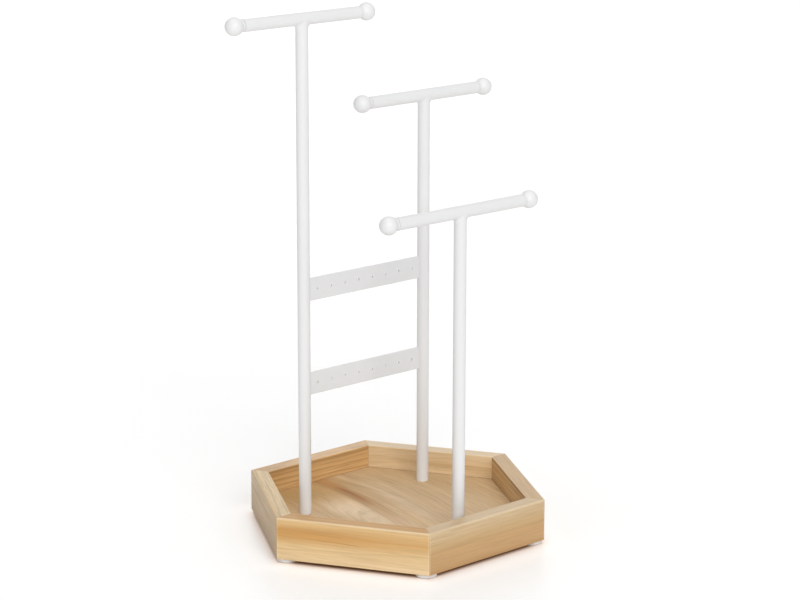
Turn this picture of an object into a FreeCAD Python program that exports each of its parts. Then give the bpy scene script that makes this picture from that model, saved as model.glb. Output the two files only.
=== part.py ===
import FreeCAD, Part
import math
import os

# Jewellery stand: hexagonal wooden tray on six pads, three T-posts of white steel tube and
# two flat earring strips between the two rear posts.
# Millimetres. +Z up, the surface the stand rests on is Z = 0, the Z axis runs through the
# middle of the hexagon. -Y is the front: the short post stands there, and every crossbar
# and both strips run along X.

# ---------------------------------------------------------------- driving dimensions
# pads
PAD_H = 3.0             # height of a bumper pad
PAD_D = 17.0
PAD_RADIUS = 114.0      # distance of a pad from the Z axis
PAD_EDGE = 0.9          # rounding at a pad's foot

# tray
CORNER_R = 125.0        # hexagon, centre to outer corner
WALL_T = 13.5           # rail thickness
WALL_H = 34.0           # rail height
CORNER_ROUND = 1.3      # sanded vertical corners
EDGE_ROUND = 0.9        # eased long edges
TRAY_DEPTH = 19.0       # rail top down to the floor
FLOOR_T = 6.0
GROOVE_DEPTH = 5.0
FLOOR_GAP = 0.2         # room for the floor board at the bottom of the groove

# V-nails across the mitres, driven from below
NAIL_H = 8.0
NAIL_T = 0.6
NAIL_LEG = 4.6
NAIL_RADIUS = 116.8     # distance of the V's point from the Z axis
NAIL_SUNK = 0.2

# posts and crossbars
TUBE_D = 10.0
TUBE_WALL = 1.0
POST_CIRCLE = 74.0      # the posts stand on this radius, 120 degrees apart
TOP_BAR_Z = 414.0       # crossbar axes above the underside of the rails
MID_BAR_Z = 341.0
LOW_BAR_Z = 271.0
REAR_BALL_X = 66.25     # post axis to ball centre, on the two rear crossbars
FRONT_BALL_X = 74.0     # and on the front crossbar
BALL_D = 14.5
COLLAR_L = 2.6          # collar between ball and tube end
SPIGOT_D = 7.9
SPIGOT_L = 10.0
WELD_R = 1.7
EDGE_CHAMFER = 0.25

# earring strips
STRIP_T = 1.5
STRIP_H = 18.5
UPPER_STRIP_Z = 199.25  # strip middle above the underside of the rails
LOWER_STRIP_Z = 122.25
HOLE_D = 2.0
HOLE_PITCH = 14.5
HOLE_COUNT = 8
TAB_H = 10.0
TAB_IN = 2.5            # how far a tab reaches past the outside of the tube
TAB_GAP = 0.05

# fixings
INSERT_L = 16.0
INSERT_SUNK = 0.3
THREAD_D = 5.0
SCREW_D = 4.9
SCREW_L = 20.0
HEAD_D = 9.5
HEAD_H = 2.75
SOCKET_AF = 3.0
SOCKET_DEPTH = 1.6
FLOOR_HOLE_D = 5.5
WASHER_D = 15.0
WASHER_T = 1.2
SPRING_D = 9.2
SPRING_T = 1.2
SPRING_CUT = 1.0

# ---------------------------------------------------------------- derived
V = FreeCAD.Vector
Z0 = PAD_H                              # underside of the rails
Z1 = PAD_H + WALL_H                     # top of the rails
ZF = Z1 - TRAY_DEPTH                    # top of the floor
ZFB = ZF - FLOOR_T                      # underside of the floor
COS30 = math.cos(math.pi / 6)
APOTHEM = CORNER_R * COS30
INNER_APOTHEM = APOTHEM - WALL_T
RT = TUBE_D / 2
RI = RT - TUBE_WALL


def on_circle(radius, deg):
    a = math.radians(deg)
    return radius * math.cos(a), radius * math.sin(a)


POSTS = {
    "tall": dict(deg=150.0, bar_z=Z0 + TOP_BAR_Z, ball_x=REAR_BALL_X),
    "middle": dict(deg=30.0, bar_z=Z0 + MID_BAR_Z, ball_x=REAR_BALL_X),
    "front": dict(deg=-90.0, bar_z=Z0 + LOW_BAR_Z, ball_x=FRONT_BALL_X),
}
for _p in POSTS.values():
    _p["x"], _p["y"] = on_circle(POST_CIRCLE, _p["deg"])

nodes = {}


def hex_prism(apothem, z_low, z_high):
    r = apothem / COS30
    pts = [V(*on_circle(r, 60.0 * k), z_low) for k in range(6)]
    return Part.Face(Part.makePolygon(pts + [pts[0]])).extrude(V(0, 0, z_high - z_low))


def cyl(radius, length, x, y, z, direction=V(0, 0, 1)):
    return Part.makeCylinder(radius, length, V(x, y, z), direction)


def vertical_edges(shape):
    return [e for e in shape.Edges
            if abs(e.tangentAt(e.FirstParameter).z) > 0.999 and e.Length > 5]


def flat_edges(shape, z):
    return [e for e in shape.Edges
            if abs(e.BoundBox.ZMin - z) < 1e-4 and abs(e.BoundBox.ZMax - z) < 1e-4]


# ---------------------------------------------------------------- tray
blank = hex_prism(APOTHEM, Z0, Z1)
blank = blank.makeFillet(CORNER_ROUND, vertical_edges(blank))
blank = blank.makeFillet(EDGE_ROUND, flat_edges(blank, Z0) + flat_edges(blank, Z1))
ring = blank.cut(hex_prism(INNER_APOTHEM, Z0 - 1, Z1 + 1))
inner_top = [e for e in flat_edges(ring, Z1)
             if math.hypot(e.CenterOfMass.x, e.CenterOfMass.y) < INNER_APOTHEM + 0.01]
ring = ring.makeFillet(EDGE_ROUND, inner_top)
ring = ring.cut(hex_prism(INNER_APOTHEM + GROOVE_DEPTH, ZFB, ZF))

nails = []
for k in range(6):
    c = 60.0 * k
    solid = None
    for side in (-1, 1):
        leg = Part.makeBox(NAIL_LEG, NAIL_T, NAIL_H, V(0, -NAIL_T / 2, 0))
        leg.rotate(V(0, 0, 0), V(0, 0, 1), side * 55.0)
        solid = leg if solid is None else solid.fuse(leg)
    solid = solid.removeSplitter()
    solid.translate(V(NAIL_RADIUS, 0, Z0 + NAIL_SUNK))
    solid.rotate(V(0, 0, 0), V(0, 0, 1), c)
    nails.append(solid.Solids[0])
nail_slots = [n.fuse(n.translated(V(0, 0, -NAIL_SUNK - 0.5))).removeSplitter() for n in nails]
ring_cut = ring
for s in nail_slots:
    ring_cut = ring_cut.cut(s)

RAILS = {
    "rail_front": -90.0, "rail_front_right": -30.0, "rail_back_right": 30.0,
    "rail_back": 90.0, "rail_back_left": 150.0, "rail_front_left": 210.0,
}
for name, deg in RAILS.items():
    far = CORNER_R * 1.5
    a = on_circle(far, deg - 30.0)
    b = on_circle(far, deg + 30.0)
    tri = Part.Face(Part.makePolygon([V(0, 0, -1), V(*a, -1), V(*b, -1), V(0, 0, -1)]))
    wedge = tri.extrude(V(0, 0, Z1 + 5))
    rail = ring_cut.common(wedge)
    solids = sorted(rail.Solids, key=lambda s: s.Volume)
    nodes[name] = solids[-1]

floor = hex_prism(INNER_APOTHEM + GROOVE_DEPTH - FLOOR_GAP, ZFB, ZF)
for p in POSTS.values():
    floor = floor.cut(cyl(FLOOR_HOLE_D / 2, FLOOR_T + 2, p["x"], p["y"], ZFB - 1))
nodes["tray_floor"] = floor

nodes["corner_v_nails"] = Part.makeCompound(nails)

PADS = {
    "pad_right": 0.0, "pad_back_right": 60.0, "pad_back_left": 120.0,
    "pad_left": 180.0, "pad_front_left": 240.0, "pad_front_right": 300.0,
}
for name, deg in PADS.items():
    x, y = on_circle(PAD_RADIUS, deg)
    pad = cyl(PAD_D / 2, PAD_H, x, y, 0)
    pad = pad.makeFillet(PAD_EDGE, flat_edges(pad, 0.0))
    nodes[name] = pad

# ---------------------------------------------------------------- T-posts
for key, p in POSTS.items():
    x, y, zb = p["x"], p["y"], p["bar_z"]
    half = p["ball_x"] - math.sqrt((BALL_D / 2) ** 2 - RT ** 2) - COLLAR_L
    p["half"] = half
    bar_rod = cyl(RT, 2 * half, x - half, y, zb, V(1, 0, 0))
    bar_bore = cyl(RI, 2 * half + 2, x - half - 1, y, zb, V(1, 0, 0))
    ends = [e for e in bar_rod.Edges if e.Curve.TypeId == "Part::GeomCircle"]
    bar = bar_rod.makeChamfer(EDGE_CHAMFER, ends).cut(bar_bore)
    nodes[key + "_crossbar"] = bar

    post_rod = cyl(RT, zb - ZF, x, y, ZF)
    tube = post_rod.cut(cyl(RI, zb - ZF + 2, x, y, ZF - 1))
    tube = tube.cut(cyl(RT, 60, x - 30, y, zb, V(1, 0, 0)))
    if key != "front":
        inward = 1 if x < 0 else -1
        for zs in (UPPER_STRIP_Z, LOWER_STRIP_Z):
            slot = Part.makeBox(4.0, STRIP_T + 2 * TAB_GAP, TAB_H + 2 * TAB_GAP,
                                V(-2.0, -STRIP_T / 2 - TAB_GAP, -TAB_H / 2 - TAB_GAP))
            slot.translate(V(x + inward * RT, y, Z0 + zs))
            tube = tube.cut(slot)
    nodes[key + "_post_tube"] = sorted(tube.Solids, key=lambda s: s.Volume)[-1]

    # weld along the saddle where the two tubes meet: two half ellipses, z = zb - |x|
    bead = None
    for side in (1, -1):
        centre = V(x, y, zb)
        major = V(x + side * RT, y, zb - RT)
        minor = V(x, y + side * RT, zb)
        ell = Part.Ellipse(major, minor, centre)
        arc = Part.Arc(ell, -math.pi / 2, math.pi / 2).toShape()
        start = arc.valueAt(arc.FirstParameter)
        tangent = arc.tangentAt(arc.FirstParameter)
        ring_wire = Part.Wire([Part.makeCircle(WELD_R, start, tangent)])
        pipe = Part.Wire([arc]).makePipeShell([ring_wire], True, True)
        if pipe.Volume < 0:
            pipe.reverse()
        bead = pipe if bead is None else bead.fuse(pipe)
    for side in (1, -1):
        bead = bead.fuse(Part.makeSphere(WELD_R, V(x, y + side * RT, zb)))
    bead = bead.cut(cyl(RT, 60, x - 30, y, zb, V(1, 0, 0)))
    bead = bead.cut(cyl(RT, 40, x, y, zb - 40))
    above = Part.makeBox(40, 40, 20, V(x - 20, y - 20, zb + 0.6))
    bead = bead.cut(above)
    nodes[key + "_weld"] = Part.makeCompound(
        [s for s in bead.Solids if s.Volume > 0.5]) if len(bead.Solids) > 1 else bead.Solids[0]

    # ball finials, each turned in one piece: ball, collar and spigot
    ball_r = BALL_D / 2
    tip = half - SPIGOT_L
    neck = p["ball_x"] - math.sqrt(ball_r ** 2 - RT ** 2)
    for name, turn in (("left", 180.0), ("right", 0.0)):
        pts = [V(tip, 0, 0), V(tip, SPIGOT_D / 2 - 0.8, 0), V(tip + 0.8, SPIGOT_D / 2, 0),
               V(half, SPIGOT_D / 2, 0), V(half, RT - EDGE_CHAMFER, 0),
               V(half + EDGE_CHAMFER, RT, 0), V(neck, RT, 0)]
        crown = V(p["ball_x"], ball_r, 0)
        pole = V(p["ball_x"] + ball_r, 0, 0)
        quarter = V(p["ball_x"] + ball_r * math.cos(math.pi / 4), ball_r * math.sin(math.pi / 4), 0)
        before = (math.pi + math.asin(RT / ball_r) * -1 + math.pi / 2) / 2
        shoulder = V(p["ball_x"] + ball_r * math.cos(before), ball_r * math.sin(before), 0)
        edges = [Part.LineSegment(pts[i], pts[i + 1]).toShape() for i in range(len(pts) - 1)]
        edges.append(Part.Arc(pts[-1], shoulder, crown).toShape())
        edges.append(Part.Arc(crown, quarter, pole).toShape())
        edges.append(Part.LineSegment(pole, pts[0]).toShape())
        finial = Part.Face(Part.Wire(edges)).revolve(V(0, 0, 0), V(1, 0, 0), 360)
        finial.rotate(V(0, 0, 0), V(0, 0, 1), turn)
        finial.translate(V(x, y, zb))
        nodes["%s_finial_%s" % (key, name)] = finial.Solids[0] if finial.Solids else Part.Solid(finial)

    # threaded insert in the foot of the tube
    insert = cyl(RI, INSERT_L, x, y, ZF + INSERT_SUNK)
    insert = insert.cut(cyl(THREAD_D / 2, INSERT_L + 2, x, y, ZF + INSERT_SUNK - 1))
    nodes[key + "_threaded_insert"] = insert

    # wide washer, spring washer and button-head screw under the floor
    z = ZFB - WASHER_T
    nodes[key + "_washer"] = cyl(WASHER_D / 2, WASHER_T, x, y, z).cut(
        cyl(FLOOR_HOLE_D / 2 - 0.1, WASHER_T + 2, x, y, z - 1))
    z -= SPRING_T
    spring = cyl(SPRING_D / 2, SPRING_T, x, y, z).cut(cyl(2.65, SPRING_T + 2, x, y, z - 1))
    cut = Part.makeBox(6, SPRING_CUT, SPRING_T * 4, V(0, -SPRING_CUT / 2, -SPRING_T * 2))
    cut.rotate(V(0, 0, 0), V(1, 0, 0), 20.0)
    cut.translate(V(x, y, z + SPRING_T / 2))
    nodes[key + "_spring_washer"] = spring.cut(cut)
    head = cyl(HEAD_D / 2, HEAD_H, x, y, z - HEAD_H)
    low = [e for e in head.Edges if e.Curve.TypeId == "Part::GeomCircle"
           and abs(e.CenterOfMass.z - (z - HEAD_H)) < 1e-4]
    head = head.makeFillet(1.9, low)
    r_sock = SOCKET_AF / 2 / COS30
    pts = [V(x + r_sock * math.cos(math.radians(60 * k)), y + r_sock * math.sin(math.radians(60 * k)),
             z - HEAD_H - 0.1) for k in range(6)]
    socket = Part.Face(Part.makePolygon(pts + [pts[0]])).extrude(V(0, 0, SOCKET_DEPTH + 0.1))
    shank = cyl(SCREW_D / 2, SCREW_L, x, y, z)
    tipedge = [e for e in shank.Edges if e.Curve.TypeId == "Part::GeomCircle"
               and abs(e.CenterOfMass.z - (z + SCREW_L)) < 1e-4]
    shank = shank.makeChamfer(0.6, tipedge)
    nodes[key + "_screw"] = head.cut(socket).fuse(shank).removeSplitter().Solids[0]

# ---------------------------------------------------------------- earring strips
tall, mid = POSTS["tall"], POSTS["middle"]
span = mid["x"] - tall["x"]
y = tall["y"]
for name, zs in (("upper_earring_strip", UPPER_STRIP_Z), ("lower_earring_strip", LOWER_STRIP_Z)):
    zc = Z0 + zs
    body_half = span / 2 - RT - 0.03
    tab_half = span / 2 - RT + TAB_IN
    plate = Part.makeBox(2 * body_half, STRIP_T, STRIP_H,
                         V(-body_half, y - STRIP_T / 2, zc - STRIP_H / 2))
    long_edges = [e for e in plate.Edges if abs(e.tangentAt(e.FirstParameter).x) > 0.999]
    plate = plate.makeFillet(0.35, long_edges)
    plate = plate.fuse(Part.makeBox(2 * tab_half, STRIP_T, TAB_H,
                                    V(-tab_half, y - STRIP_T / 2, zc - TAB_H / 2))).removeSplitter()
    for k in range(HOLE_COUNT):
        hx = (k - (HOLE_COUNT - 1) / 2) * HOLE_PITCH
        plate = plate.cut(cyl(HOLE_D / 2, STRIP_T + 2, hx, y - STRIP_T / 2 - 1, zc, V(0, 1, 0)))
    nodes[name] = plate.Solids[0]

# ---------------------------------------------------------------- write
os.makedirs("parts", exist_ok=True)
for name, shape in nodes.items():
    shape.exportStep("parts/%s.step" % name)
box = None
for name, shape in nodes.items():
    ok = shape.isValid()
    box = shape.BoundBox if box is None else box.united(shape.BoundBox)
    print("%-26s solids %d valid %s volume %.1f" % (name, len(shape.Solids), ok, shape.Volume))
print("nodes", len(nodes))
print("box X %.2f..%.2f Y %.2f..%.2f Z %.2f..%.2f" % (
    box.XMin, box.XMax, box.YMin, box.YMax, box.ZMin, box.ZMax))
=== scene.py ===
import math

import bmesh
import bpy
from mathutils import Matrix, Vector


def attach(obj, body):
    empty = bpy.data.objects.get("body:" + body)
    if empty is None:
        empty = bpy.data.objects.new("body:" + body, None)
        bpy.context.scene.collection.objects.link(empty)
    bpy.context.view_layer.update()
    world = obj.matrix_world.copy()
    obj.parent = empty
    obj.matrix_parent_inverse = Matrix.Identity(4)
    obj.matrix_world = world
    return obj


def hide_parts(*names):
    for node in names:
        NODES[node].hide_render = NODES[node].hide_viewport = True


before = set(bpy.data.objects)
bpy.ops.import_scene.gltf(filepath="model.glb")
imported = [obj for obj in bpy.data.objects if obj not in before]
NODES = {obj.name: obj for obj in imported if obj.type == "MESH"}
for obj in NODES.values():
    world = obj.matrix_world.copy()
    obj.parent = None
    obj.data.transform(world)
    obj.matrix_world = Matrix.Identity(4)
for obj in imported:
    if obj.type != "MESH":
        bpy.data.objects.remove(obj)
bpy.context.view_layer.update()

MM = 0.001

# ------------------------------------------------------------------ dimensions, as in the CAD
POST_CIRCLE = 74.0 * MM
TUBE_R = 5.0 * MM
POSTS = {
    "tall": (150.0, 417.0 * MM, "tray_and_rear_frame"),
    "middle": (30.0, 344.0 * MM, "tray_and_rear_frame"),
    "front": (-90.0, 274.0 * MM, "front_post"),
}
APOTHEM = 125.0 * MM * math.cos(math.pi / 6)
WALL_T = 13.5 * MM
RAILS = {
    "rail_front": -90.0, "rail_front_right": -30.0, "rail_back_right": 30.0,
    "rail_back": 90.0, "rail_back_left": 150.0, "rail_front_left": 210.0,
}

# ------------------------------------------------------------------ camera
cam_data = bpy.data.cameras.new("camera")
cam = bpy.data.objects.new("camera", cam_data)
bpy.context.scene.collection.objects.link(cam)
cam_data.sensor_width = 36.0
cam_data.lens = 114.031
cam_data.clip_end = 60.0
right = Vector((0.74049805, -0.67205656, 0.00162023))
up = Vector((0.16117617, 0.17992963, 0.97038527))
back = Vector((-0.65244531, -0.71830726, 0.24155704))
m = Matrix.Identity(4)
for i in range(3):
    m[i][0], m[i][1], m[i][2] = right[i], up[i], back[i]
m[0][3], m[1][3], m[2][3] = -1.311934, -1.449657, 0.677557
cam.matrix_world = m
bpy.context.scene.camera = cam


# ------------------------------------------------------------------ node helpers
class Tree:
    def __init__(self, tree):
        self.t = tree

    def node(self, kind, **props):
        n = self.t.nodes.new(kind)
        for k, v in props.items():
            setattr(n, k, v)
        return n

    def put(self, socket, value):
        if value is None:
            return
        if isinstance(value, bpy.types.NodeSocket):
            self.t.links.new(value, socket)
        else:
            socket.default_value = value

    def math(self, op, a, b=None, c=None, clamp=False):
        n = self.node("ShaderNodeMath", operation=op, use_clamp=clamp)
        self.put(n.inputs[0], a)
        self.put(n.inputs[1], b)
        if c is not None:
            self.put(n.inputs[2], c)
        return n.outputs[0]

    def vmath(self, op, a, b=None):
        n = self.node("ShaderNodeVectorMath", operation=op)
        self.put(n.inputs[0], a)
        self.put(n.inputs[1], b)
        return n.outputs[1] if op in ("LENGTH", "DISTANCE", "DOT_PRODUCT") else n.outputs[0]

    def noise(self, vector, scale=1.0, detail=2.0, rough=0.5, distortion=0.0, lacunarity=2.0):
        n = self.node("ShaderNodeTexNoise", noise_dimensions="3D")
        self.put(n.inputs["Vector"], vector)
        self.put(n.inputs["Scale"], scale)
        self.put(n.inputs["Detail"], detail)
        self.put(n.inputs["Roughness"], rough)
        self.put(n.inputs["Distortion"], distortion)
        self.put(n.inputs["Lacunarity"], lacunarity)
        return n.outputs["Fac"]

    def smooth(self, value, low, high, out_low=0.0, out_high=1.0):
        n = self.node("ShaderNodeMapRange", interpolation_type="SMOOTHSTEP", clamp=True)
        self.put(n.inputs["Value"], value)
        self.put(n.inputs["From Min"], low)
        self.put(n.inputs["From Max"], high)
        self.put(n.inputs["To Min"], out_low)
        self.put(n.inputs["To Max"], out_high)
        return n.outputs["Result"]

    def linear(self, value, low, high, out_low=0.0, out_high=1.0):
        n = self.node("ShaderNodeMapRange", interpolation_type="LINEAR", clamp=True)
        self.put(n.inputs["Value"], value)
        self.put(n.inputs["From Min"], low)
        self.put(n.inputs["From Max"], high)
        self.put(n.inputs["To Min"], out_low)
        self.put(n.inputs["To Max"], out_high)
        return n.outputs["Result"]

    def mix(self, fac, a, b, blend="MIX"):
        n = self.node("ShaderNodeMix", data_type="RGBA", blend_type=blend)
        self.put(n.inputs[0], fac)
        self.put(n.inputs[6], a if isinstance(a, bpy.types.NodeSocket) else (*a, 1.0))
        self.put(n.inputs[7], b if isinstance(b, bpy.types.NodeSocket) else (*b, 1.0))
        return n.outputs[2]

    def grey(self, value):
        n = self.node("ShaderNodeCombineColor", mode="RGB")
        for i in range(3):
            self.put(n.inputs[i], value)
        return n.outputs[0]


def new_material(name):
    mat = bpy.data.materials.new(name)
    mat.use_nodes = True
    mat.node_tree.nodes.clear()
    t = Tree(mat.node_tree)
    out = t.node("ShaderNodeOutputMaterial")
    bsdf = t.node("ShaderNodeBsdfPrincipled")
    mat.node_tree.links.new(bsdf.outputs[0], out.inputs["Surface"])
    return mat, t, bsdf


def local_coords(t, angle_deg, offset=(0, 0, 0)):
    """Object coordinates turned about Z so that the grain runs along the first axis, then shifted."""
    tc = t.node("ShaderNodeTexCoord")
    mp = t.node("ShaderNodeMapping", vector_type="POINT")
    mp.inputs["Rotation"].default_value = (0, 0, math.radians(-angle_deg))
    t.put(mp.inputs["Vector"], tc.outputs["Object"])
    plain = mp.outputs[0]
    moved = t.vmath("ADD", plain, Vector(offset)) if any(offset) else plain
    sep = t.node("ShaderNodeSeparateXYZ")
    t.put(sep.inputs[0], plain)
    return plain, moved, sep.outputs[0], sep.outputs[1], sep.outputs[2]


def scaled(t, vector, x, y, z):
    return t.vmath("MULTIPLY", vector, Vector((x, y, z)))


# ------------------------------------------------------------------ wood
RAIL_OUT = 108.25 * MM
RAIL_IN = RAIL_OUT - WALL_T
RAIL_TOP = 37.0 * MM
RAIL_LOW = 2.0 * MM


def wood(name, grain_deg, seed, pith, spacing, early, late, warm, ring=0.4, warm_amount=0.5,
         slope=(0.0, 0.0), wave=1.4, lines=0.10, marks=(), rail=True, rough=0.42, coat=0.30,
         pores=0.5, wide_scale=26.0, gain=1.0,
         curve=None, spec=0.45, gap=None, edge=1.0, low_edge_highlight=0.80):
    """Softwood: growth rings round a pith line outside the board, fine lines that follow the rings,
    wide warm areas, and the marks of that one board.  Lengths in metres, local frame: x along the grain."""
    early, late, warm = (tuple(gain * v for v in c) for c in (early, late, warm))
    mat, t, bsdf = new_material(name)
    plain, vec, lx, ly, lz = local_coords(t, grain_deg, seed)
    side = ly
    if curve:       # the grain of this board sweeps sideways: straighten it before anything reads it
        shift = t.math("ADD", t.math("MULTIPLY", lx, curve[0]),
                       t.math("MULTIPLY", t.math("MULTIPLY", lx, lx), curve[1]))
        ly = t.math("ADD", ly, shift)
        vec = t.vmath("ADD", vec, combine(t, 0.0, shift, 0.0))
    slow = t.noise(scaled(t, vec, 7, 30, 30), detail=2.0, rough=0.45)
    mid = t.noise(scaled(t, vec, 30, 120, 120), detail=3.0, rough=0.55)
    slow0 = t.math("SUBTRACT", slow, 0.5)
    mid0 = t.math("SUBTRACT", mid, 0.5)
    bend = t.math("ADD", t.math("MULTIPLY", slow0, wave * 4.0 * MM),
                  t.math("MULTIPLY", mid0, wave * 0.55 * MM))
    y = t.math("ADD", t.math("SUBTRACT", ly, pith[0]), t.math("MULTIPLY", lx, slope[0]))
    z = t.math("ADD", t.math("SUBTRACT", lz, pith[1]), t.math("MULTIPLY", lx, slope[1]))
    rho = t.math("SQRT", t.math("ADD", t.math("MULTIPLY", y, y), t.math("MULTIPLY", z, z)))
    rho = t.math("ADD", rho, bend)
    turns = t.math("DIVIDE", rho, spacing)
    wob = t.noise(combine(t, t.math("MULTIPLY", turns, 0.23), seed[0] * 3.1, 0.0), detail=1.0)
    turns = t.math("ADD", turns, t.math("MULTIPLY", wob, 2.6))
    fr = t.math("FRACT", turns)
    rise = t.smooth(fr, 0.30, 0.92)
    fall = t.smooth(fr, 0.92, 1.0, 1.0, 0.0)
    rings = t.math("MULTIPLY", t.math("POWER", rise, 1.7), fall)
    which = t.node("ShaderNodeTexWhiteNoise", noise_dimensions="1D")
    t.put(which.inputs["W"], t.math("FLOOR", turns))
    rings = t.math("MULTIPLY", rings, t.linear(which.outputs["Value"], 0.0, 1.0, 0.25, 1.0))
    patch = t.noise(scaled(t, vec, 9, 60, 60), detail=2.0)
    rings = t.math("MULTIPLY", rings, t.linear(patch, 0.3, 0.7, 0.45, 1.0))
    # fine lines that keep to the rings: the ring radius is the first coordinate of the noise
    arc = t.math("ARCTAN2", y, z)
    fine = t.noise(combine(t, t.math("MULTIPLY", rho, 1250.0), t.math("MULTIPLY", lx, 26.0),
                           t.math("MULTIPLY", arc, 5.0)), detail=3.0, rough=0.62)
    broad = t.noise(combine(t, t.math("MULTIPLY", rho, 400.0), t.math("MULTIPLY", lx, 13.0),
                            t.math("MULTIPLY", arc, 3.0)), detail=3.0, rough=0.6)
    fibre = t.noise(scaled(t, vec, 60, 1300, 1300), detail=2.0, rough=0.6)
    pore = t.smooth(t.noise(scaled(t, vec, 90, 1700, 1700), detail=1.0), 0.64, 0.76)
    wide = t.noise(scaled(t, vec, 3.4, wide_scale, wide_scale), detail=2.0, rough=0.5)
    colour = t.mix(t.math("MULTIPLY", t.smooth(wide, 0.38, 0.66), warm_amount), early, warm)
    colour = t.mix(t.math("MULTIPLY", rings, ring), colour, late)
    for mark in marks:
        cy, cz = mark.get("axis", (0.0, 1.0))
        pos = t.math("ADD", t.math("MULTIPLY", ly, cy), t.math("MULTIPLY", lz, cz))
        pos = t.math("SUBTRACT", pos, t.math("ADD", mark["at"], t.math("MULTIPLY", lx, mark.get("tilt", 0.0))))
        pos = t.math("ADD", pos, t.math("MULTIPLY", slow0, mark.get("wave", 5.0) * MM))
        pos = t.math("ADD", pos, t.math("MULTIPLY", mid0, mark.get("ripple", 1.2) * MM))
        if "side" in mark:      # everything on one side of a soft border
            k = t.smooth(pos, -mark["soft"], mark["soft"], 0.0 if mark["side"] > 0 else 1.0,
                         1.0 if mark["side"] > 0 else 0.0)
        else:
            k = t.smooth(t.math("ABSOLUTE", pos), max(mark["half"] - mark["soft"], 0.0),
                         mark["half"] + mark["soft"], 1.0, 0.0)
        for x_a, x_b, low in mark.get("fade", ()):      # from x_a, where it is faint, to x_b
            k = t.math("MULTIPLY", k, t.smooth(t.math("MULTIPLY", lx, 1.0 if x_b > x_a else -1.0),
                                               x_a if x_b > x_a else -x_a,
                                               x_b if x_b > x_a else -x_b, low, 1.0))
        k = t.math("MULTIPLY", k, t.linear(broad, 0.3, 0.7, mark.get("broken", 0.7), 1.0))
        colour = t.mix(t.math("MULTIPLY", k, mark["amount"]), colour, tuple(gain * v for v in mark["tint"]))
    shade = t.math("ADD", t.math("MULTIPLY", t.math("SUBTRACT", fine, 0.5), lines * 2.2),
                   t.math("MULTIPLY", t.math("SUBTRACT", broad, 0.5), lines * 1.8))
    shade = t.math("ADD", shade, t.math("MULTIPLY", t.math("SUBTRACT", fibre, 0.5), lines * 0.9))
    shade = t.math("SUBTRACT", t.math("ADD", shade, 1.0), t.math("MULTIPLY", pore, lines * pores))
    # darker lines are also redder
    colour = t.mix(t.linear(shade, 0.80, 1.0, 0.35, 0.0), colour, late)
    colour = t.mix(1.0, colour, t.grey(shade), "MULTIPLY")
    if rail:
        # painted highlight: the rounded edges are made paler, standing in for the light they catch
        out_y = t.math("SUBTRACT", RAIL_OUT, t.math("ABSOLUTE", ly))
        in_y = t.math("SUBTRACT", t.math("ABSOLUTE", ly), RAIL_IN)
        top_z = t.math("SUBTRACT", RAIL_TOP, lz)
        low_z = t.math("SUBTRACT", lz, RAIL_LOW)
        dist = t.math("MULTIPLY", t.math("ADD", t.math("ABSOLUTE", lx),
                                         t.math("MULTIPLY", ly, math.tan(math.pi / 6))),
                      math.cos(math.pi / 6))
        for du, dv, reach, amount in ((out_y, top_z, 1.6, 0.85), (in_y, top_z, 1.1, 0.45),
                                      (out_y, low_z, 1.5, low_edge_highlight),
                                      (out_y, t.math("ABSOLUTE", dist), 1.6, 0.38)):
            d = t.math("SQRT", t.math("ADD", t.math("MULTIPLY", du, du), t.math("MULTIPLY", dv, dv)))
            k = t.math("MULTIPLY", t.smooth(d, 0.35 * MM, reach * MM, amount * edge, 0.0),
                       t.linear(mid, 0.3, 0.7, 0.6, 1.0))
            colour = t.mix(k, colour, tuple(gain * v for v in (0.92, 0.76, 0.53)))
        # the glue line where two rails meet
        k = t.smooth(t.math("ABSOLUTE", dist), 0.08 * MM, 0.30 * MM, 0.6, 0.0)
        k = t.math("MULTIPLY", k, t.linear(mid, 0.35, 0.65, 0.45, 1.0))
        colour = t.mix(k, colour, (0.30, 0.17, 0.08))
    if gap:         # painted shade: the dark line where this board meets the walls round it, standing in for the shadow in the gap
        half_x = t.math("MULTIPLY", lx, 0.5)
        skew = t.math("MULTIPLY", side, math.sqrt(0.75))
        reach = t.math("MAXIMUM", t.math("ABSOLUTE", lx),
                       t.math("MAXIMUM", t.math("ABSOLUTE", t.math("ADD", half_x, skew)),
                              t.math("ABSOLUTE", t.math("SUBTRACT", half_x, skew))))
        k = t.smooth(reach, gap - 0.9 * MM, gap - 0.1 * MM, 0.0, 0.85)
        k = t.math("MULTIPLY", k, t.linear(t.noise(scaled(t, plain, 30, 30, 30), detail=1.0), 0.35, 0.65, 0.25, 1.0))
        colour = t.mix(k, colour, (0.16, 0.09, 0.045))
    t.put(bsdf.inputs["Base Color"], colour)
    r = t.math("ADD", t.math("MULTIPLY", fibre, 0.10), t.math("MULTIPLY", rings, -0.06))
    t.put(bsdf.inputs["Roughness"], t.math("ADD", r, rough - 0.03))
    bsdf.inputs["Specular IOR Level"].default_value = spec
    bsdf.inputs["Coat Weight"].default_value = coat
    bsdf.inputs["Coat Roughness"].default_value = 0.30
    height = t.math("ADD", t.math("MULTIPLY", fine, 0.5), t.math("MULTIPLY", rings, 0.35))
    height = t.math("ADD", height, t.math("MULTIPLY", fibre, 0.3))
    height = t.math("SUBTRACT", height, t.math("MULTIPLY", pore, 0.5))
    bump = t.node("ShaderNodeBump")
    bump.inputs["Strength"].default_value = 0.35
    bump.inputs["Distance"].default_value = 0.00012
    t.put(bump.inputs["Height"], height)
    t.put(bsdf.inputs["Normal"], bump.outputs[0])
    return mat


def combine(t, x, y, z):
    n = t.node("ShaderNodeCombineXYZ")
    t.put(n.inputs[0], x)
    t.put(n.inputs[1], y)
    t.put(n.inputs[2], z)
    return n.outputs[0]


CREAM = (0.800, 0.585, 0.320)
TAN = (0.650, 0.405, 0.165)
HONEY = (0.580, 0.365, 0.150)
ORANGE = (0.620, 0.315, 0.085)
BROWN = (0.430, 0.235, 0.085)
UMBER = (0.300, 0.160, 0.058)

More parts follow.
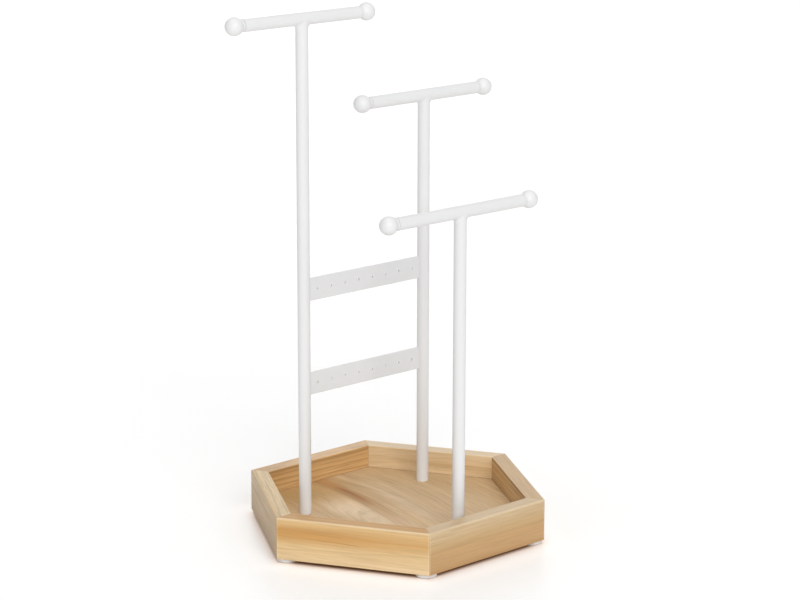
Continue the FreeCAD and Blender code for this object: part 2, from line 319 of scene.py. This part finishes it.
WOODS = {
    "rail_front_left": wood(
        "pine_front_left", 300.0, (0.31, 0.0, 0.0), (-0.190, 0.150), 0.0046, CREAM, HONEY, TAN,
        ring=0.30, warm_amount=0.25, slope=(0.0, 0.03), lines=0.15, gain=0.89, edge=0.70, spec=0.26, coat=0.12, marks=(
            dict(at=0.0205, side=1, soft=0.0060, tilt=0.03, amount=0.70, tint=(0.700, 0.430, 0.170), wave=7.0),
            dict(at=0.0255, half=0.0056, soft=0.0046, tilt=0.018, wave=6.0, amount=0.90, tint=ORANGE,
                 fade=((0.062, -0.035, 0.42),), broken=0.8),
            dict(at=0.0280, half=0.0016, soft=0.0018, tilt=0.014, wave=6.0, ripple=2.4, amount=0.55,
                 tint=(0.520, 0.240, 0.060), fade=((0.010, -0.035, 0.0),), broken=0.3),
            dict(at=0.0262, half=0.0008, soft=0.0010, tilt=0.010, wave=6.0, ripple=2.0, amount=0.45,
                 tint=(0.560, 0.270, 0.070), fade=((-0.030, 0.015, 0.0),), broken=0.2),
            # painted highlight: a pale line just beneath the top edge, widening the edge's painted highlight
            dict(at=0.0350, half=0.0012, soft=0.0012, amount=0.40, tint=(0.830, 0.600, 0.320), wave=1.5, broken=0.6),
            dict(at=0.0150, half=0.0004, soft=0.0006, tilt=0.050, wave=3.0, ripple=2.0, amount=0.30,
                 tint=BROWN, broken=0.0),
            dict(at=0.0212, half=0.0003, soft=0.0005, tilt=-0.03, wave=3.0, ripple=2.0, amount=0.65,
                 tint=BROWN, fade=((0.016, -0.006, 0.0), (-0.044, -0.026, 0.0)), broken=0.5),
            dict(at=0.0085, side=-1, soft=0.0060, tilt=0.02, amount=0.50, tint=(0.850, 0.665, 0.430), wave=5.0),
            # the rim
            dict(axis=(1.0, 0.0), at=-0.1005, half=0.0056, soft=0.0018, amount=0.92, tint=(0.585, 0.298, 0.076), wave=0.5, ripple=0.4),
            dict(axis=(1.0, 0.0), at=-0.0978, half=0.0007, soft=0.0007, amount=0.70, tint=(0.400, 0.190, 0.050), wave=2.5, broken=0.5),
            dict(axis=(1.0, 0.0), at=-0.1022, half=0.0006, soft=0.0006, amount=0.45, tint=BROWN, wave=3.0, broken=0.3),
            dict(axis=(1.0, 0.0), at=-0.1054, half=0.0010, soft=0.0008, amount=0.62, tint=(0.420, 0.205, 0.060), wave=1.2, ripple=0.6, broken=0.6),
        )),
    "rail_front": wood(
        "pine_front", 0.0, (1.7, 0.0, 0.0), (-0.26, -0.16), 0.0036, (0.600, 0.410, 0.200), ORANGE,
        (0.540, 0.345, 0.150), ring=0.30, warm_amount=0.5, slope=(0.0, 0.02), lines=0.165, gain=0.92, edge=0.55, low_edge_highlight=0.10, marks=(
            dict(at=0.0290, side=1, soft=0.0065, amount=0.46, tint=(0.715, 0.580, 0.385), wave=3.0, broken=0.85),
            dict(at=0.0205, side=-1, soft=0.006, amount=0.75, tint=(0.540, 0.305, 0.118), wave=3.0),
            dict(at=0.0200, half=0.0008, soft=0.0010, amount=0.42, tint=BROWN, wave=2.0, broken=0.3),
            # darker towards the foot of the face: partly the board's colour, partly painted shade standing in for the
            # shadow along its foot
            dict(at=0.0062, side=-1, soft=0.0035, amount=0.78, tint=(0.440, 0.235, 0.080), wave=2.5, broken=0.8),
            dict(axis=(1.0, 0.0), at=-0.1005, half=0.0056, soft=0.0018, amount=0.80, tint=(0.570, 0.390, 0.190), wave=0.5, ripple=0.4),
            dict(axis=(1.0, 0.0), at=-0.1040, half=0.0005, soft=0.0006, amount=0.40, tint=BROWN, wave=2.5, broken=0.3),
            dict(at=0.0245, half=0.0005, soft=0.0007, tilt=0.012, amount=0.35, tint=BROWN, wave=3.0,
                 fade=((-0.05, 0.01, 0.0),), broken=0.1),
            dict(at=0.0135, half=0.0004, soft=0.0005, tilt=0.02, amount=0.40, tint=BROWN, wave=2.5,
                 fade=((-0.02, 0.03, 0.1),), broken=0.1),
            dict(at=0.0098, half=0.0004, soft=0.0005, tilt=0.02, amount=0.35, tint=BROWN, wave=2.5,
                 fade=((-0.02, 0.03, 0.1),), broken=0.1),
        )),
    "rail_front_right": wood(
        "pine_front_right", 60.0, (2.9, 0.0, 0.0), (-0.30, 0.05), 0.0026, TAN, BROWN, HONEY,
        ring=0.85, warm_amount=0.5, slope=(0.0, -0.02), lines=0.20, gain=0.80, edge=0.5, marks=(
            dict(at=0.0350, side=-1, soft=0.0006, amount=0.45, tint=(0.950, 0.590, 0.270), wave=0.2, ripple=0.2, broken=0.6),
            dict(at=0.0280, half=0.0060, soft=0.0040, amount=0.45, tint=(0.860, 0.580, 0.280), wave=5.0,
                 fade=((0.050, -0.010, 0.1),), broken=0.7),
            dict(at=0.0354, half=0.0007, soft=0.0008, amount=0.80, tint=(0.200, 0.090, 0.030), wave=1.0, ripple=0.6),
            dict(at=0.0318, half=0.0006, soft=0.0006, amount=0.75, tint=UMBER, wave=2.0, tilt=-0.02, broken=0.4),
            dict(at=0.0302, half=0.0003, soft=0.0004, amount=0.60, tint=UMBER, wave=2.0, tilt=-0.02, broken=0.2),
            dict(at=0.0262, half=0.0007, soft=0.0007, amount=0.70, tint=BROWN, wave=2.5, tilt=-0.03, broken=0.3),
            dict(at=0.0228, half=0.0004, soft=0.0005, amount=0.70, tint=UMBER, wave=2.5, tilt=-0.03, broken=0.3),
            dict(at=0.0200, half=0.0012, soft=0.0010, amount=0.55, tint=(0.380, 0.180, 0.060), wave=3.0, tilt=-0.03,
                 broken=0.5),
        )),
    "rail_back_right": wood(
        "pine_back_right", 120.0, (4.3, 0.0, 0.0), (-0.28, -0.12), 0.0034, (0.790, 0.600, 0.370), (0.580, 0.380, 0.180),
        (0.650, 0.430, 0.205),
        ring=0.60, warm_amount=0.6, slope=(0.0, 0.02), lines=0.17, gain=0.99, edge=0.35, marks=(
            dict(at=0.0265, half=0.0010, soft=0.0014, tilt=0.02, amount=0.45, tint=(0.560, 0.340, 0.150), wave=5.0,
                 ripple=2.0, broken=0.2),
            dict(axis=(1.0, 0.0), at=-0.1015, half=0.0048, soft=0.0014, amount=0.65, tint=(0.560, 0.410, 0.225), wave=0.5, ripple=0.4),
        )),
    "rail_back": wood(
        "pine_back", 180.0, (5.1, 0.0, 0.0), (-0.13, 0.30), 0.0040, (0.620, 0.390, 0.170), BROWN,
        (0.520, 0.305, 0.110), ring=0.70, warm_amount=0.5, slope=(0.0, 0.012), lines=0.27, gain=1.13, edge=0.5, marks=(
            dict(at=0.0295, side=1, soft=0.0040, amount=0.38, tint=(0.380, 0.200, 0.070), wave=3.0, broken=0.8,
                 fade=((0.000, 0.050, 0.35),)),
            dict(at=0.0245, side=-1, soft=0.0035, amount=0.45, tint=(0.720, 0.470, 0.225), wave=3.0, broken=0.8,
                 fade=((0.000, 0.050, 0.25),)),
            dict(at=0.0350, half=0.0013, soft=0.0010, amount=0.65, tint=UMBER, wave=2.0, tilt=0.01),
            dict(at=0.0312, half=0.0009, soft=0.0009, amount=0.55, tint=(0.370, 0.190, 0.070), wave=2.5, ripple=2.0,
                 tilt=0.015, broken=0.2),
            dict(at=0.0268, half=0.0005, soft=0.0006, amount=0.80, tint=UMBER, wave=2.5, tilt=0.018, broken=0.4),
            dict(at=0.0252, half=0.0004, soft=0.0004, amount=0.45, tint=UMBER, wave=2.5, tilt=0.022, broken=0.1),
            dict(at=0.0218, half=0.0006, soft=0.0007, amount=0.65, tint=UMBER, wave=3.5, tilt=0.03, broken=0.3),
        )),
    "rail_back_left": wood(
        "pine_back_left", 240.0, (6.6, 0.0, 0.0), (-0.24, -0.14), 0.0034, CREAM, HONEY, TAN,
        ring=0.65, warm_amount=0.6, slope=(0.0, 0.02), lines=0.28, coat=0.12, spec=0.30, gain=0.735, edge=0.30, marks=(
            # painted shade: the lower part of this outer face is made darker, standing in for the shadow along its foot
            dict(at=0.0190, side=-1, soft=0.0140, amount=0.72, tint=(0.480, 0.300, 0.130), wave=4.0, broken=0.8),
            dict(at=0.0070, side=-1, soft=0.0060, amount=0.60, tint=(0.370, 0.205, 0.078), wave=3.0, broken=0.8),
            dict(at=0.0250, half=0.0012, soft=0.0014, amount=0.45, tint=(0.480, 0.310, 0.150), wave=5.0, broken=0.2),
            dict(axis=(1.0, 0.0), at=-0.1005, half=0.0054, soft=0.0018, amount=0.72, tint=(0.940, 0.730, 0.440), wave=0.5, ripple=0.4),
        )),
}
# The floor board: its grain sweeps sideways; marks are placed by distance across the grain.
WOODS["tray_floor"] = wood(
    "pine_floor", 90.0, (8.2, 0.0, 0.0), (0.025, -0.060), 0.0046, (0.700, 0.492, 0.282), HONEY,
    (0.610, 0.400, 0.200), ring=0.55, warm_amount=0.6, slope=(0.0, 0.03), wave=2.2, lines=0.23, gain=0.87,
    rail=False, rough=0.52, coat=0.0, spec=0.35, curve=(0.1934, -1.137), gap=94.75 * MM, marks=(
        # golden area at the back left, pale areas at the front left and beside the streak
        dict(axis=(1.0, 0.0), at=0.048, half=0.033, soft=0.010, amount=0.76, tint=(0.550, 0.310, 0.098),
             wave=8.0, ripple=3.0, fade=((0.022, 0.068, 0.0),)),
        dict(axis=(1.0, 0.0), at=0.0320, half=0.0120, soft=0.0110, tilt=0.18, amount=0.72,
             tint=(0.880, 0.690, 0.470), wave=6.0, ripple=3.0, fade=((0.065, 0.015, 0.0), (-0.065, -0.005, 0.35))),
        dict(axis=(1.0, 0.0), at=-0.0130, half=0.0060, soft=0.0060, amount=0.55, tint=(0.890, 0.690, 0.470),
             wave=5.0, ripple=2.0, fade=((-0.050, -0.020, 0.0), (0.050, 0.015, 0.15)), broken=0.6),
        dict(axis=(1.0, 0.0), at=0.0015, half=0.0080, soft=0.0060, amount=0.52, tint=(0.520, 0.315, 0.140),
             wave=5.0, ripple=2.0, fade=((-0.010, 0.028, 0.0),), broken=0.7),
        # the reddish streak and the lines beside it
        dict(axis=(1.0, 0.0), at=0.0148, half=0.0060, soft=0.0055, tilt=-0.05, amount=0.80,
             tint=(0.480, 0.260, 0.090), wave=4.0, ripple=2.5, fade=((-0.060, 0.045, 0.25), (0.096, 0.058, 0.45)), broken=0.8),
        dict(axis=(1.0, 0.0), at=0.0146, half=0.0034, soft=0.0026, tilt=-0.05, amount=0.90,
             tint=(0.370, 0.145, 0.032), wave=4.0, ripple=2.5, fade=((0.010, 0.040, 0.06), (0.092, 0.060, 0.45)), broken=0.6),
        dict(axis=(1.0, 0.0), at=0.0135, half=0.0014, soft=0.0014, tilt=-0.05, amount=0.75,
             tint=(0.290, 0.105, 0.025), wave=4.0, ripple=2.5, fade=((0.028, 0.052, 0.0), (0.080, 0.062, 0.2)), broken=0.5),
        dict(axis=(1.0, 0.0), at=0.0196, half=0.0007, soft=0.0008, tilt=-0.05, amount=0.60,
             tint=(0.300, 0.120, 0.030), wave=4.0, ripple=2.0, fade=((-0.050, 0.030, 0.40),), broken=0.2),
        dict(axis=(1.0, 0.0), at=0.0092, half=0.0005, soft=0.0007, tilt=-0.05, amount=0.60,
             tint=(0.300, 0.120, 0.030), wave=4.0, ripple=2.0, fade=((-0.040, 0.030, 0.2),), broken=0.2),
        dict(axis=(1.0, 0.0), at=0.0145, half=0.0065, soft=0.0050, tilt=-0.05, amount=0.80,
             tint=(0.590, 0.300, 0.108), wave=4.0, ripple=2.5, fade=((0.055, 0.080, 0.0),), broken=0.7),
        dict(axis=(1.0, 0.0), at=0.0012, half=0.0016, soft=0.0020, amount=0.35, tint=(0.460, 0.260, 0.090),
             wave=6.0, ripple=2.0, broken=0.4),
        dict(axis=(1.0, 0.0), at=-0.0170, half=0.0025, soft=0.0030, amount=0.22, tint=(0.470, 0.280, 0.110),
             wave=6.0, ripple=2.0, broken=0.4),
        dict(axis=(1.0, 0.0), at=-0.0360, half=0.0040, soft=0.0050, amount=0.18, tint=(0.470, 0.280, 0.110),
             wave=6.0, ripple=2.0, broken=0.4),
    ))


# ------------------------------------------------------------------ white powder coat
def powder_coat(name, base, rough, peel, spec=0.5):
    mat, t, bsdf = new_material(name)
    tc = t.node("ShaderNodeTexCoord")
    v = tc.outputs["Object"]
    peel_n = t.noise(v, 900.0, detail=2.0, rough=0.5)
    fine = t.noise(v, 2600.0, detail=1.0)
    cloud = t.noise(v, 22.0, detail=2.0)
    dust = t.smooth(t.noise(v, 480.0, detail=3.0, rough=0.7), 0.66, 0.76)
    tone = t.math("ADD", 0.985, t.math("MULTIPLY", cloud, 0.03))
    tone = t.math("SUBTRACT", tone, t.math("MULTIPLY", dust, 0.02))
    # painted light: the coat is made a little whiter towards the foot of the frame, standing in for light on the lower
    # posts
    sep = t.node("ShaderNodeSeparateXYZ")
    t.put(sep.inputs[0], v)
    tone = t.math("MULTIPLY", tone, t.linear(sep.outputs[2], 0.030, 0.210, 1.065, 1.0))
    t.put(bsdf.inputs["Base Color"], t.mix(1.0, base, t.grey(tone), "MULTIPLY"))
    r = t.math("ADD", rough - 0.05, t.math("MULTIPLY", cloud, 0.08))
    t.put(bsdf.inputs["Roughness"], t.math("ADD", r, t.math("MULTIPLY", dust, 0.06)))
    bsdf.inputs["Specular IOR Level"].default_value = spec
    bump = t.node("ShaderNodeBump")
    bump.inputs["Strength"].default_value = peel
    bump.inputs["Distance"].default_value = 0.00006
    t.put(bump.inputs["Height"], t.math("ADD", peel_n, t.math("MULTIPLY", fine, 0.4)))
    t.put(bsdf.inputs["Normal"], bump.outputs[0])
    return mat


WHITE = powder_coat("white_powder_coat", (0.732, 0.735, 0.737), 0.34, 0.35, 0.38)
STRIP = powder_coat("white_powder_coat_satin", (0.716, 0.719, 0.723), 0.46, 0.30, 0.4)


# ------------------------------------------------------------------ clear pads
def clear_pad():
    mat, t, bsdf = new_material("clear_polyurethane")
    tc = t.node("ShaderNodeTexCoord")
    v = tc.outputs["Object"]
    cloud = t.noise(v, 160.0, detail=3.0)
    t.put(bsdf.inputs["Base Color"], t.mix(cloud, (0.93, 0.925, 0.915), (0.98, 0.975, 0.965)))
    t.put(bsdf.inputs["Roughness"], t.linear(cloud, 0.3, 0.7, 0.16, 0.30))
    bsdf.inputs["Transmission Weight"].default_value = 0.35
    bsdf.inputs["IOR"].default_value = 1.48
    bump = t.node("ShaderNodeBump")
    bump.inputs["Strength"].default_value = 0.25
    bump.inputs["Distance"].default_value = 0.00008
    t.put(bump.inputs["Height"], t.noise(v, 700.0, detail=2.0))
    t.put(bsdf.inputs["Normal"], bump.outputs[0])
    return mat


# ------------------------------------------------------------------ zinc-plated steel
def zinc():
    mat, t, bsdf = new_material("zinc_plated_steel")
    tc = t.node("ShaderNodeTexCoord")
    v = tc.outputs["Object"]
    grain = t.noise(v, 1400.0, detail=3.0, rough=0.6)
    cloud = t.noise(v, 180.0, detail=2.0)
    t.put(bsdf.inputs["Base Color"], t.mix(cloud, (0.60, 0.61, 0.61), (0.74, 0.73, 0.68)))
    t.put(bsdf.inputs["Roughness"], t.math("ADD", 0.20, t.math("MULTIPLY", grain, 0.22)))
    bsdf.inputs["Metallic"].default_value = 1.0
    bump = t.node("ShaderNodeBump")
    bump.inputs["Strength"].default_value = 0.3
    bump.inputs["Distance"].default_value = 0.00003
    t.put(bump.inputs["Height"], grain)
    t.put(bsdf.inputs["Normal"], bump.outputs[0])
    return mat


PAD = clear_pad()
ZINC = zinc()


def finish_of(name):
    if name in WOODS:
        return WOODS[name]
    if name.startswith("pad_"):
        return PAD
    if name.endswith("_earring_strip"):
        return STRIP
    if name == "corner_v_nails" or name.endswith(("_threaded_insert", "_screw", "_washer")):
        return ZINC
    return WHITE


for name, obj in NODES.items():
    obj.data.materials.clear()
    obj.data.materials.append(finish_of(name))


# ------------------------------------------------------------------ modelled pieces
def closed_mesh(name, rings, closed_sections, material, sharp=38.0):
    """Skin over rings of points.  closed_sections: the first and last ring also join (a loop);
    otherwise the rings end in single points."""
    bm = bmesh.new()
    rows = [[bm.verts.new(p) for p in ring] for ring in rings]
    n = len(rows)
    for i in range(n if closed_sections else n - 1):
        a, b = rows[i], rows[(i + 1) % n]
        if len(a) == 1 and len(b) == 1:
            continue
        size = max(len(a), len(b))
        for k in range(size):
            j = (k + 1) % size
            if len(a) == 1:
                bm.faces.new((a[0], b[k], b[j]))
            elif len(b) == 1:
                bm.faces.new((a[k], b[0], a[j]))
            else:
                bm.faces.new((a[k], b[k], b[j], a[j]))
    bmesh.ops.recalc_face_normals(bm, faces=bm.faces)
    me = bpy.data.meshes.new(name)
    bm.to_mesh(me)
    bm.free()
    me.shade_smooth()
    me.set_sharp_from_angle(angle=math.radians(sharp))
    me.materials.append(material)
    ob = bpy.data.objects.new(name, me)
    bpy.context.scene.collection.objects.link(ob)
    return ob


BALL_R = 7.248
NECK_R = 4.80
FILLET_R = 1.3


def finial(key, side, post_x, post_y, bar_z, ball_x, body):
    """A turned ball with its collar, a small fillet at the neck and the spigot inside the tube."""
    end = ball_x - math.sqrt(BALL_R ** 2 - 5.0 ** 2) - 2.6
    # a narrow gap is left between the tube end and the collar, as on the real push-in finial
    profile = [(end - 10.0, 3.15), (end - 9.2, 3.95), (end + 0.32, 3.95), (end + 0.32, 4.50),
               (end + 0.37, 4.69), (end + 0.47, 4.83), (end + 0.62, 4.92), (end + 0.85, 4.96),
               (end + 1.10, 4.95), (end + 1.45, 4.87), (end + 1.75, NECK_R)]
    cx = -math.sqrt((BALL_R + FILLET_R) ** 2 - (NECK_R + FILLET_R) ** 2)
    join = math.atan2(NECK_R + FILLET_R, cx)           # from the ball's centre to the tangent point
    for i in range(9):
        a = -math.pi / 2 + (join - math.pi + math.pi / 2) * i / 8
        profile.append((ball_x + cx + FILLET_R * math.cos(a), NECK_R + FILLET_R + FILLET_R * math.sin(a)))
    for i in range(1, 27):
        a = join * (1 - i / 27)
        profile.append((ball_x + BALL_R * math.cos(a), BALL_R * math.sin(a)))
    seg = 72
    rings = [[Vector((end - 10.0, 0, 0))]]
    rings += [[Vector((x, r * math.cos(2 * math.pi * k / seg), r * math.sin(2 * math.pi * k / seg)))
               for k in range(seg)] for x, r in profile]
    rings.append([Vector((ball_x + BALL_R, 0, 0))])
    sign = 1 if side == "right" else -1
    rings = [[Vector(((post_x + sign * p.x * MM), (post_y + p.y * MM), (bar_z + p.z * MM))) for p in ring]
             for ring in rings]
    ob = closed_mesh(f"{key}_ball_finial_{side}", rings, False, WHITE)
    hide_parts(f"{key}_finial_{side}")
    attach(ob, body)
    return ob


def weld_fillet(key, post_x, post_y, bar_z, body, out=3.4, down=5.2):
    """The coated fillet where the post runs into its crossbar: a hollow curve that follows the
    saddle line all the way round, with its roots inside the two tube walls."""
    rings = []
    count = 96
    for i in range(count):
        phi = 2 * math.pi * i / count
        c, sn = math.cos(phi), math.sin(phi)
        drop = math.sqrt(c * c + 0.03 ** 2)
        y = 5.06 * sn
        p0 = Vector((4.985 * c, y * 4.985 / 5.0, -5.0 * drop - down * (0.62 + 0.38 * drop)))
        p1 = Vector((5.0 * c, y, -5.0 * drop))
        p2 = Vector(((5.0 + out) * c, y * 0.999, -4.985 * drop))
        ring = []
        for k in range(11):
            t = k / 10
            ring.append(p0 * (1 - t) ** 2 + p1 * (2 * t * (1 - t)) + p2 * t * t)
        ring.append(Vector(((5.0 + out) * 0.985 * c, 4.5 * sn, -4.45 * drop + 0.02)))
        ring.append(Vector((4.5 * c, 4.5 * sn, -4.45 * drop)))
        ring.append(Vector((4.5 * c, 4.5 * sn, p0.z + 0.15)))
        rings.append([Vector((post_x + p.x * MM, post_y + p.y * MM, bar_z + p.z * MM)) for p in ring])
    ob = closed_mesh(f"{key}_weld_fillet", rings, True, WHITE, sharp=50.0)
    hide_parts(f"{key}_weld")
    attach(ob, body)
    return ob


for key, (deg, bar_z, body) in POSTS.items():
    px = POST_CIRCLE * math.cos(math.radians(deg))
    py = POST_CIRCLE * math.sin(math.radians(deg))
    reach = 74.0 if key == "front" else 66.25
    for side in ("left", "right"):
        finial(key, side, px, py, bar_z, reach, body)
    weld_fillet(key, px, py, bar_z, body)


# ------------------------------------------------------------------ floor and light
def floor():
    """A seamless white sweep: lit by the lamps round the object, self-lit further out; close round the tray, a painted
    glow, a painted warm bounce and a painted brown shadow.
    """
    mat, t, bsdf = new_material("studio_floor")
    tc = t.node("ShaderNodeTexCoord")
    n = t.noise(tc.outputs["Object"], 3.0, detail=2.0)
    bsdf.inputs["Roughness"].default_value = 0.32
    bsdf.inputs["Specular IOR Level"].default_value = 0.12
    # none under the tray, so that the shadow below its edge stays deep and narrow
    sides = [t.math("ABSOLUTE", t.vmath("DOT_PRODUCT", tc.outputs["Object"],
                                        Vector((math.cos(math.radians(a)), math.sin(math.radians(a)), 0.0))))
             for a in (30.0, 90.0, 150.0)]
    edge = t.math("MAXIMUM", t.math("MAXIMUM", sides[0], sides[1]), sides[2])
    white = t.mix(n, (0.925, 0.922, 0.918), (0.935, 0.932, 0.928))
    # painted warm bounce: the floor's colour and glow are tinted warm close to the tray, standing in for light the wood
    # throws onto it
    painted_bounce = t.mix(t.smooth(edge, APOTHEM - 0.0010, APOTHEM + 0.0070, 1.0, 0.0), (1.0, 1.0, 1.0), (1.0, 0.88, 0.80))
    white = t.mix(1.0, white, painted_bounce, "MULTIPLY")
    # painted shadow: the floor beneath the tray and at its foot is coloured brown
    painted_contact_shadow = t.smooth(edge, APOTHEM - 0.0060, APOTHEM + 0.0005, 1.0, 0.0)
    t.put(bsdf.inputs["Base Color"], t.mix(painted_contact_shadow, white, (0.46, 0.28, 0.16)))
    # painted light: the floor glows just outside the tray's edge, most in a narrow ring, lifting the shadow there
    painted_glow = t.smooth(edge, APOTHEM - 0.0055, APOTHEM + 0.0005, 0.0, 0.065)
    ring = t.math("MULTIPLY", t.smooth(edge, APOTHEM - 0.0055, APOTHEM + 0.0005, 0.0, 0.085),
                  t.smooth(edge, APOTHEM + 0.005, APOTHEM + 0.027, 1.0, 0.0))
    painted_glow = t.math("ADD", painted_glow, ring)
    far = t.linear(t.vmath("LENGTH", tc.outputs["Object"]), 0.30, 4.0, 0.0, 0.22)
    t.put(bsdf.inputs["Emission Color"], painted_bounce)
    t.put(bsdf.inputs["Emission Strength"], t.math("ADD", painted_glow, far))
    me = bpy.data.meshes.new("studio_floor")
    s = 30.0
    me.from_pydata([(-s, -s, 0), (s, -s, 0), (s, s, 0), (-s, s, 0)], [], [(0, 1, 2, 3)])
    ob = bpy.data.objects.new("studio_floor", me)
    bpy.context.scene.collection.objects.link(ob)
    me.materials.append(mat)


floor()


def area(name, at, target, size, power, colour=(1, 1, 1)):
    data = bpy.data.lights.new(name, "AREA")
    data.shape = "RECTANGLE"
    data.size, data.size_y = size
    data.energy = power
    data.color = colour
    ob = bpy.data.objects.new(name, data)
    ob.location = at
    direction = Vector(target) - Vector(at)
    ob.rotation_euler = direction.to_track_quat("-Z", "Y").to_euler()
    ob.visible_camera = False
    bpy.context.scene.collection.objects.link(ob)
    return ob


def polar(az_deg, elev_deg, distance):
    a, e = math.radians(az_deg), math.radians(elev_deg)
    return (distance * math.cos(a) * math.cos(e), distance * math.sin(a) * math.cos(e),
            MIDDLE[2] + distance * math.sin(e))


MIDDLE = (0, 0, 0.18)
area("key", polar(-116, 27, 8.0), MIDDLE, (6.0, 5.0), 375.0)
area("left", polar(178, 15, 8.0), MIDDLE, (5.0, 4.0), 45.0)
area("top", (0.0, 0.0, 8.0), (0, 0, 0), (7.0, 7.0), 255.0)
# the pale wall behind the sweep, which the lacquer and the coat pick up at a glance
area("backdrop", polar(48, 17, 6.5), MIDDLE, (7.5, 3.6), 84.0)

world = bpy.data.worlds.new("studio")
bpy.context.scene.world = world
world.use_nodes = True
world.node_tree.nodes["Background"].inputs["Color"].default_value = (1.0, 1.0, 1.0, 1.0)
world.node_tree.nodes["Background"].inputs["Strength"].default_value = 0.36

view = bpy.context.scene.view_settings
view.view_transform = "Standard"
view.look = "None"
view.exposure = 0.0
view.gamma = 1.0
